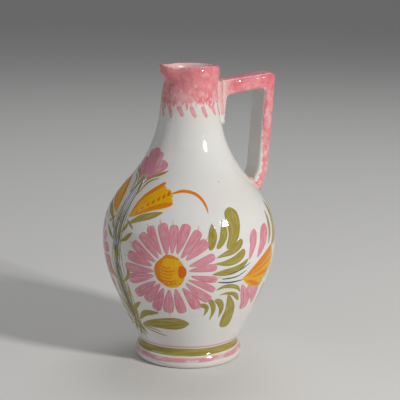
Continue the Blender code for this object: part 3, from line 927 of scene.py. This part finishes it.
def glaze_finish(n, ripple=0.12, duller=0.0):
    """Gloss with a soft orange-peel; rougher where duller is 1, which is inside the jug."""
    n.shader.inputs["IOR"].default_value = GLAZE_IOR
    rough = n.ramp(n.noise(75.0, 4.0), 0.3, 0.75, 0.05, 0.13)
    n.put(n.shader.inputs["Roughness"], n.math("MULTIPLY_ADD", duller, 0.22, rough))
    peel = n.plus(n.noise(160.0, 2.0), n.times(n.noise(620.0, 1.0), 0.25))
    n.bump(peel, ripple, PEEL_DEPTH)


def sponge(n, streaks, full):
    """Sponged pink: rose blotches on a paler ground, with bare flecks where full is low."""
    drawn = n.stretched(1.0, 1.0, streaks)
    blotch = n.noise(230.0, 4.0, place=drawn, roughness=0.65)
    tone = n.mix(n.ramp(blotch, 0.38, 0.60), PINK_PALE, PINK)
    tone = n.mix(n.ramp(n.noise(80.0, 3.0), 0.42, 0.68, 0.0, 0.75), tone, ROSE)
    tone = n.mix(n.times(full, 0.45), tone, ROSE)
    grain = n.noise(520.0, 3.0, place=drawn, roughness=0.6)
    fleck = n.minus(grain, n.times(full, 0.13))
    return n.mix(n.ramp(fleck, 0.53, 0.62, 0.0, 0.6), tone, BARE_FLECK)


def strap_sponge(n):
    """The sponged pink of the strap and its slip, fuller towards the top."""
    return sponge(n, 0.8, n.ramp(n.parts()[2], 0.150, 0.185, 0.25, 0.8))


def sponged_band(n, height, inner):
    """1 above the ragged lower edge of the sponged band."""
    drawn = n.stretched(1.0, 1.0, 0.35)
    coarse = n.times(n.noise(170.0, 3.0, place=drawn), 0.014)
    fine = n.times(n.noise(520.0, 2.0, place=drawn), 0.010)
    ragged = n.minus(n.plus(coarse, fine), 0.012)
    edge = n.math("MULTIPLY_ADD", inner, SPONGE_INSIDE, SPONGE_EDGE)
    return n.ramp(n.minus(n.plus(height, ragged), edge), 0.0, 0.0023)


def band_level(n, scale):
    """Height as the painted bands have it: they wander, and tilt from spout to handle."""
    tilt = n.times(n.parts()[0], 0.012)
    waver = n.plus(n.times(n.noise(scale, 2.0), 0.0010), tilt)
    return n.minus(n.parts()[2], waver)


def wall_material():
    """White glaze, with the sponged band on the neck, and a pink line and an olive edge at the foot."""
    n = Nodes("painted_tin_glaze")
    height = n.parts()[2]
    inner = n.attribute("inner_side")
    outside = n.minus(1.0, inner)
    full = n.times(n.ramp(height, *SPONGE_FULL), outside)
    rose = n.mix(n.times(inner, 0.6), sponge(n, 0.75, full), MOUTH_PINK)
    colour = n.mix(sponged_band(n, height, inner), glaze_white(n), rose)
    level = band_level(n, 40.0)
    off_line = n.math("ABSOLUTE", n.minus(level, PINK_LINE))
    thin = n.ramp(off_line, 0.00035, 0.0008, 0.8, 0.0)
    colour = n.mix(n.times(thin, outside), colour, LINE_PINK)
    olive = n.ramp(level, *OLIVE_HIGH, 0.96, 0.0)
    colour = n.mix(n.times(olive, outside), colour, OLIVE)
    n.set_colour(colour)
    glaze_finish(n, duller=inner)
    return n.material


def foot_material():
    """White glaze with an olive band, a pink band under it, and painted shade darkening the standing edge."""
    n = Nodes("banded_foot_glaze")
    height = n.parts()[2]
    level = band_level(n, 45.0)
    wash = n.noise(150.0, 3.0, place=n.stretched(0.5, 0.5, 6.0))
    olive = n.mix(n.ramp(wash, 0.4, 0.7), OLIVE, OLIVE_PALE)
    painted = n.times(n.ramp(level, *OLIVE_LOW), n.ramp(level, *OLIVE_HIGH, 1.0, 0.0))
    colour = n.mix(painted, glaze_white(n), olive)
    off_band = n.math("ABSOLUTE", n.minus(level, FOOT_BAND))
    blotch = n.noise(170.0, 3.0, place=n.stretched(0.7, 0.7, 1.6))
    near_band = n.ramp(off_band, 0.0010, 0.0021, 1.0, 0.0)
    pink = n.times(near_band, n.ramp(blotch, 0.30, 0.58, 0.35, 1.0))
    colour = n.mix(pink, colour, FOOT_PINK)
    # painted shade: the foot darkens towards the floor it stands on
    colour = n.mix(n.ramp(height, 0.0, CONTACT_SHADE_HEIGHT, 0.7, 0.0), colour, FOOT_CONTACT_SHADE)
    n.set_colour(colour)
    glaze_finish(n)
    return n.material


def sponged_part(n):
    """0 on the white end of the web, which lies below the sponged band and close to the neck."""
    x, _, z = n.parts()
    ragged = n.math("MULTIPLY_ADD", n.noise(380.0, 3.0), 0.006, z)
    low = n.ramp(ragged, 0.1690, 0.1705, 1.0, 0.0)
    on_web = n.times(low, n.ramp(z, 0.140, 0.145))
    tail = n.times(on_web, n.ramp(x, TAIL_REACH, TAIL_REACH + 0.003, 1.0, 0.0))
    return n.minus(1.0, tail)


def handle_material():
    """White on the side that faces the jug, sponged pink on the rest, with a ragged edge between them."""
    n = Nodes("sponged_handle_glaze")
    x, _, z = n.parts()
    inside = n.attribute("from_inside")
    reach = n.ramp(z, 0.124, 0.168, 3.0, 0.25)
    strayed = n.plus(n.times(n.noise(330.0, 3.0), 1.6), -0.1)
    flecks = n.times(n.minus(n.noise(800.0, 2.0), 0.5), 1.6)
    ragged = n.plus(n.times(reach, strayed), flecks)
    level = n.minus(inside, ragged)
    cover = n.times(n.ramp(level, -0.1, 0.4), n.ramp(inside, 0.25, 0.55))
    cover = n.times(cover, sponged_part(n))
    near_neck = n.math("MULTIPLY_ADD", n.noise(300.0, 3.0), 0.009, x)
    faded = n.times(n.ramp(near_neck, 0.0210, 0.0300, 1.0, 0.0), 0.75)
    pink = n.mix(faded, strap_sponge(n), FADED_PINK)
    n.set_colour(n.mix(cover, glaze_white(n), pink))
    glaze_finish(n)
    return n.material


def slip_material():
    """Sponged pink where the slip stands proud beside the strap, running out white over the wall."""
    n = Nodes("glazed_slip_bead")
    proud = n.minus(n.attribute("proud"), n.times(n.noise(420.0, 3.0), 0.9))
    pink = n.mix(0.45, strap_sponge(n), FADED_PINK)
    cover = n.times(n.ramp(proud, -0.35, 0.15), sponged_part(n))
    n.set_colour(n.mix(cover, WARM_WHITE, pink))
    glaze_finish(n, ripple=0.2)
    return n.material


STREAKS_ACROSS = 2.45  # how finely the hairs of the brush show across a stroke


def paint_material(name, colour, pale, thinness, specular=0.5):
    """A brushed colour: streaks along the stroke, denser at its edges, and thin where white shows through."""
    n = Nodes(name)
    along, across, tone = (n.attribute(word) for word in ("along", "across", "tone"))
    place = n.vector(n.times(along, 1.6), n.times(across, STREAKS_ACROSS), n.times(tone, 31.0))
    streaks = n.noise(2.2, 3.0, place=place)
    pool = n.noise(1.1, 1.0, place=place)
    edge = n.ramp(n.math("ABSOLUTE", across), 0.55, 0.95)
    body = n.mix(n.ramp(streaks, 0.38, 0.66), colour, pale)
    body = n.mix(n.ramp(n.plus(tone, pool), 0.6, 1.4, 0.0, 0.35), body, pale)
    body = n.mix(n.times(edge, 0.6), body, colour)
    thin = n.times(n.ramp(streaks, 0.5, 0.75, 0.0, thinness), n.minus(1.0, edge))
    n.set_colour(n.mix(thin, body, WHITE))
    n.shader.inputs["IOR"].default_value = GLAZE_IOR
    n.shader.inputs["Specular IOR Level"].default_value = specular
    n.put(n.shader.inputs["Roughness"], n.ramp(n.noise(75.0, 4.0), 0.3, 0.75, 0.06, 0.15))
    n.bump(n.noise(160.0, 2.0), 0.12, PEEL_DEPTH)
    return n.material


# ---- stage

FLOOR_HALF = 14.0
FLOOR_COLOUR = (0.74, 0.735, 0.715, 1.0)
SKY_COLOUR = (0.86, 0.87, 0.90, 1.0)
AIM_HEIGHT = 0.1


def make_stage():
    floor_mesh = bpy.data.meshes.new("floor")
    corners = [(x * FLOOR_HALF, y * FLOOR_HALF, 0) for x, y in ((-1, -1), (1, -1), (1, 1), (-1, 1))]
    floor_mesh.from_pydata(corners, [], [(0, 1, 2, 3)])
    floor = new_object("floor", floor_mesh)
    material = bpy.data.materials.new("pale_floor")
    material.use_nodes = True
    shader = material.node_tree.nodes["Principled BSDF"]
    shader.inputs["Base Color"].default_value = FLOOR_COLOUR
    shader.inputs["Roughness"].default_value = 0.65
    floor_mesh.materials.append(material)


def add_softbox(name, turn, rise, distance, size, power, tint=(1.0, 1.0, 1.0)):
    """A square light aimed at the belly. turn is degrees to the right of the camera, rise degrees up."""
    light = bpy.data.lights.new(name, "AREA")
    light.shape = "SQUARE"
    light.size = size
    light.energy = power
    light.color = tint
    obj = new_object(name, light)
    heading = math.radians(-90.0 + CAMERA_TURN + turn)
    lift = math.radians(rise)
    aim = Vector((AXIS_X * MM, 0.0, AIM_HEIGHT))
    level = math.cos(lift)
    away = Vector((math.cos(heading) * level, math.sin(heading) * level, math.sin(lift)))
    obj.location = aim + away * distance
    obj.rotation_euler = away.to_track_quat("Z", "Y").to_euler()


CAMERA_TURN = -28.0  # degrees that the camera has gone round from a square side view, towards the spout
CAMERA_DISTANCE = 0.800
CAMERA_HEIGHT = 0.2755
CAMERA_DIP = 11.79
CAMERA_YAW = 0.525
CAMERA_ROLL = 0.55
CAMERA_LENS = 108.1


def make_camera():
    data = bpy.data.cameras.new("camera")
    data.sensor_width = 36.0
    data.lens = CAMERA_LENS
    data.clip_start = 0.05
    data.clip_end = 60.0
    camera = new_object("camera", data)
    heading = math.radians(CAMERA_TURN)
    x = AXIS_X * MM + math.sin(heading) * CAMERA_DISTANCE
    y = -math.cos(heading) * CAMERA_DISTANCE
    place = Matrix.Translation((x, y, CAMERA_HEIGHT))
    turn = Matrix.Rotation(math.radians(CAMERA_TURN - CAMERA_YAW), 4, "Z")
    dip = Matrix.Rotation(math.radians(90.0 - CAMERA_DIP), 4, "X")
    roll = Matrix.Rotation(math.radians(CAMERA_ROLL), 4, "Z")
    camera.matrix_world = place @ turn @ dip @ roll
    bpy.context.scene.camera = camera


def make_lights():
    warm, cool = (1.0, 0.985, 0.96), (0.95, 0.97, 1.0)
    add_softbox("key", turn=50.5, rise=28.0, distance=1.5, size=0.18, power=15.0, tint=warm)
    add_softbox("fill", turn=-75.0, rise=25.0, distance=1.9, size=1.2, power=3.2, tint=cool)
    add_softbox("top", turn=165.0, rise=62.0, distance=1.7, size=1.0, power=6.5)
    world = bpy.data.worlds.new("studio")
    world.use_nodes = True
    background = world.node_tree.nodes["Background"]
    background.inputs["Color"].default_value = SKY_COLOUR
    background.inputs["Strength"].default_value = 0.20
    bpy.context.scene.world = world
    bpy.context.scene.view_settings.view_transform = "Standard"


# ---- build

def build():
    make_camera()
    make_lights()
    make_stage()
    make_wall(wall_material())
    make_foot(foot_material())
    slip = slip_material()
    make_slip("upper_slip_bead", "upper_handle_slip", 0.7, slip)
    make_slip("lower_slip_bead", "lower_handle_slip", 1.2, slip)
    make_handle(handle_material())

    pink, olive, yellow, orange, rust, ink, dabs = (Brush(seed) for seed in range(7))
    paint_daisy(pink, yellow, orange, rust)
    paint_leaf_fans(olive)
    paint_side_flower(pink, yellow, orange, olive, ink)
    paint_stems(olive, ink)
    paint_buds(pink, yellow, orange, rust, olive)
    paint_neck_dabs(dabs)
    petals = paint_material("petal_pink", PETAL, PETAL_PALE, thinness=0.22)
    leaves = paint_material("leaf_olive", OLIVE, OLIVE_PALE, thinness=0.12, specular=0.25)
    buds = paint_material("bud_yellow", YELLOW, YELLOW_PALE, thinness=0.04, specular=0.25)
    bud_edges = paint_material("bud_orange", ORANGE, ORANGE_PALE, thinness=0.0, specular=0.25)
    dots = paint_material("dot_orange", ORANGE_DEEP, ORANGE, thinness=0.0, specular=0.25)
    stems = paint_material("stem_ink", INK, INK_PALE, thinness=0.3)
    neck_dabs = paint_material("dab_pink", DAB, PINK_PALE, thinness=0.3)
    pink.make("painted_petals", petals, "sponged_pink_glaze")
    olive.make("painted_leaves", leaves)
    yellow.make("painted_yellow", buds)
    orange.make("painted_orange", bud_edges)
    rust.make("painted_rust", dots)
    ink.make("painted_stems", stems)
    dabs.make("painted_dabs", neck_dabs, "sponged_pink_glaze")


build()
